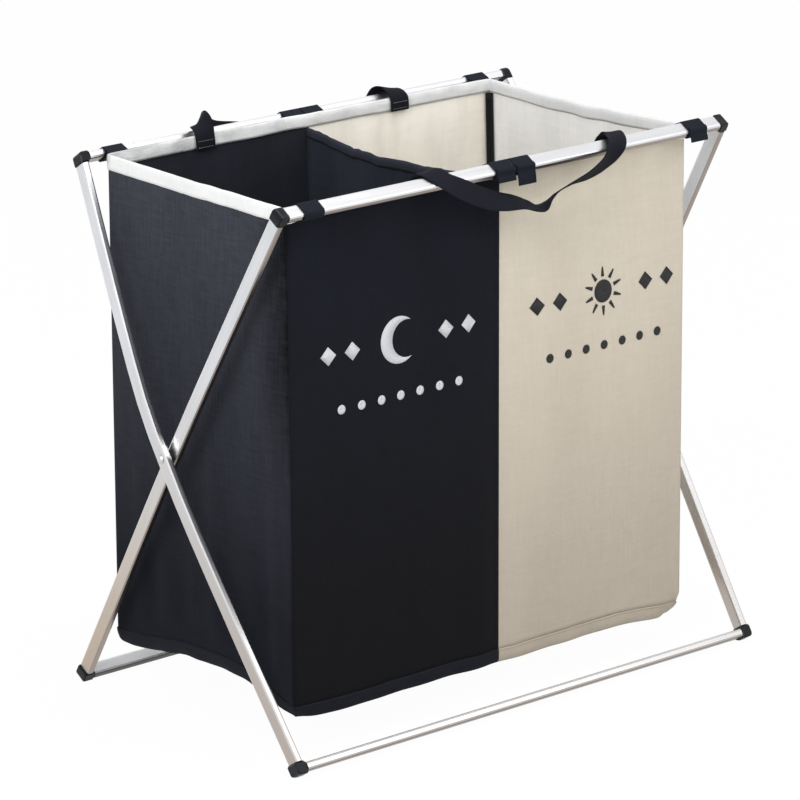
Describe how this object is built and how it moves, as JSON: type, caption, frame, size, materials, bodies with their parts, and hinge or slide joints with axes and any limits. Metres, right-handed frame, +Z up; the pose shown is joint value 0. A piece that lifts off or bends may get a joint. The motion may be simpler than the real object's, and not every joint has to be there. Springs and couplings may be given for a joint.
{
  "type": "folding two-bin laundry hamper",
  "caption": "Folding laundry hamper: crossed flat-tube aluminium frames carry a cloth bag with a dark and a light bin, a divider, wrap straps and webbing handles.",
  "frame": {"origin": "on the floor, midway between the four feet", "axes": "+Z up, +X from the dark bin to the light bin, -Y towards the front"},
  "size_m": [0.6656, 0.4102, 0.6012],
  "materials": {
    "aluminium_tube": "satin anodised, drawn along the tube",
    "corner_plastic": "moulded, slightly worn edges",
    "rivet_steel": "domed and zinc plated",
    "spacer_plastic": "moulded",
    "strap_webbing": "hook and loop tape",
    "handle_webbing": "woven webbing",
    "dark_cloth": "plain weave, softly coated",
    "light_cloth": "plain weave, softly coated",
    "rim_band": "coated silver-white tape",
    "seam_tape": "woven binding tape"
  },
  "bodies": {
    "inner_frame": {"inner_top_rail": "aluminium_tube", "inner_bottom_rail": "aluminium_tube", "inner_left_leg": "aluminium_tube", "inner_right_leg": "aluminium_tube", "inner_top_left_corner": "corner_plastic", "inner_top_right_corner": "corner_plastic", "inner_bottom_left_corner": "corner_plastic", "inner_bottom_right_corner": "corner_plastic", "left_pivot_rivet": "rivet_steel", "right_pivot_rivet": "rivet_steel", "left_pivot_spacer": "spacer_plastic", "right_pivot_spacer": "spacer_plastic", "front_strap_left": "strap_webbing", "front_strap_middle_left": "strap_webbing", "front_strap_middle_right": "strap_webbing", "front_strap_right": "strap_webbing", "front_handle_tab_left": "handle_webbing", "front_handle_tab_right": "handle_webbing", "bag_front_dark": "dark_cloth", "bag_front_light": "light_cloth", "bag_back_dark": "dark_cloth", "bag_back_light": "light_cloth", "bag_left_side": "dark_cloth", "bag_right_side": "light_cloth", "bag_divider": "dark_cloth", "bag_base_dark": "dark_cloth", "bag_base_light": "light_cloth", "rim_band_front": "rim_band", "rim_band_back": "rim_band", "rim_band_left": "rim_band", "rim_band_right": "rim_band", "seam_tape_front_left": "seam_tape", "seam_tape_front_right": "seam_tape", "seam_tape_back_left": "seam_tape", "seam_tape_back_right": "seam_tape"},
    "outer_frame": {"outer_top_rail": "aluminium_tube", "outer_bottom_rail": "aluminium_tube", "outer_left_leg": "aluminium_tube", "outer_right_leg": "aluminium_tube", "outer_top_left_corner": "corner_plastic", "outer_top_right_corner": "corner_plastic", "outer_bottom_left_corner": "corner_plastic", "outer_bottom_right_corner": "corner_plastic", "back_strap_left": "strap_webbing", "back_strap_middle_left": "strap_webbing", "back_strap_middle_right": "strap_webbing", "back_strap_right": "strap_webbing", "back_handle_tab_left": "handle_webbing", "back_handle_tab_right": "handle_webbing"},
    "front_handle_loop": {"front_handle": "handle_webbing"},
    "back_handle_loop": {"back_handle": "handle_webbing"}
  },
  "joints": [
    {"name": "fold", "type": "hinge", "parent": "inner_frame", "child": "outer_frame", "pos_m": [0, 0, 0.3], "axis": [1, 0, 0], "range_deg": [0, 52], "deforming": ["bag_back_dark", "bag_back_light", "bag_left_side", "bag_right_side", "bag_divider", "bag_base_dark", "bag_base_light", "rim_band_back", "rim_band_left", "rim_band_right", "seam_tape_back_left", "seam_tape_back_right"]},
    {"name": "front_handle_swing", "type": "hinge", "parent": "inner_frame", "child": "front_handle_loop", "pos_m": [0, -0.174, 0.584], "axis": [-1, 0, 0], "range_deg": [0, 150], "deforming": ["front_handle_tab_left", "front_handle_tab_right"]},
    {"name": "back_handle_swing", "type": "hinge", "parent": "outer_frame", "child": "back_handle_loop", "pos_m": [0, 0.174, 0.584], "axis": [1, 0, 0], "range_deg": [0, 150], "deforming": ["back_handle_tab_left", "back_handle_tab_right"]}
  ]
}
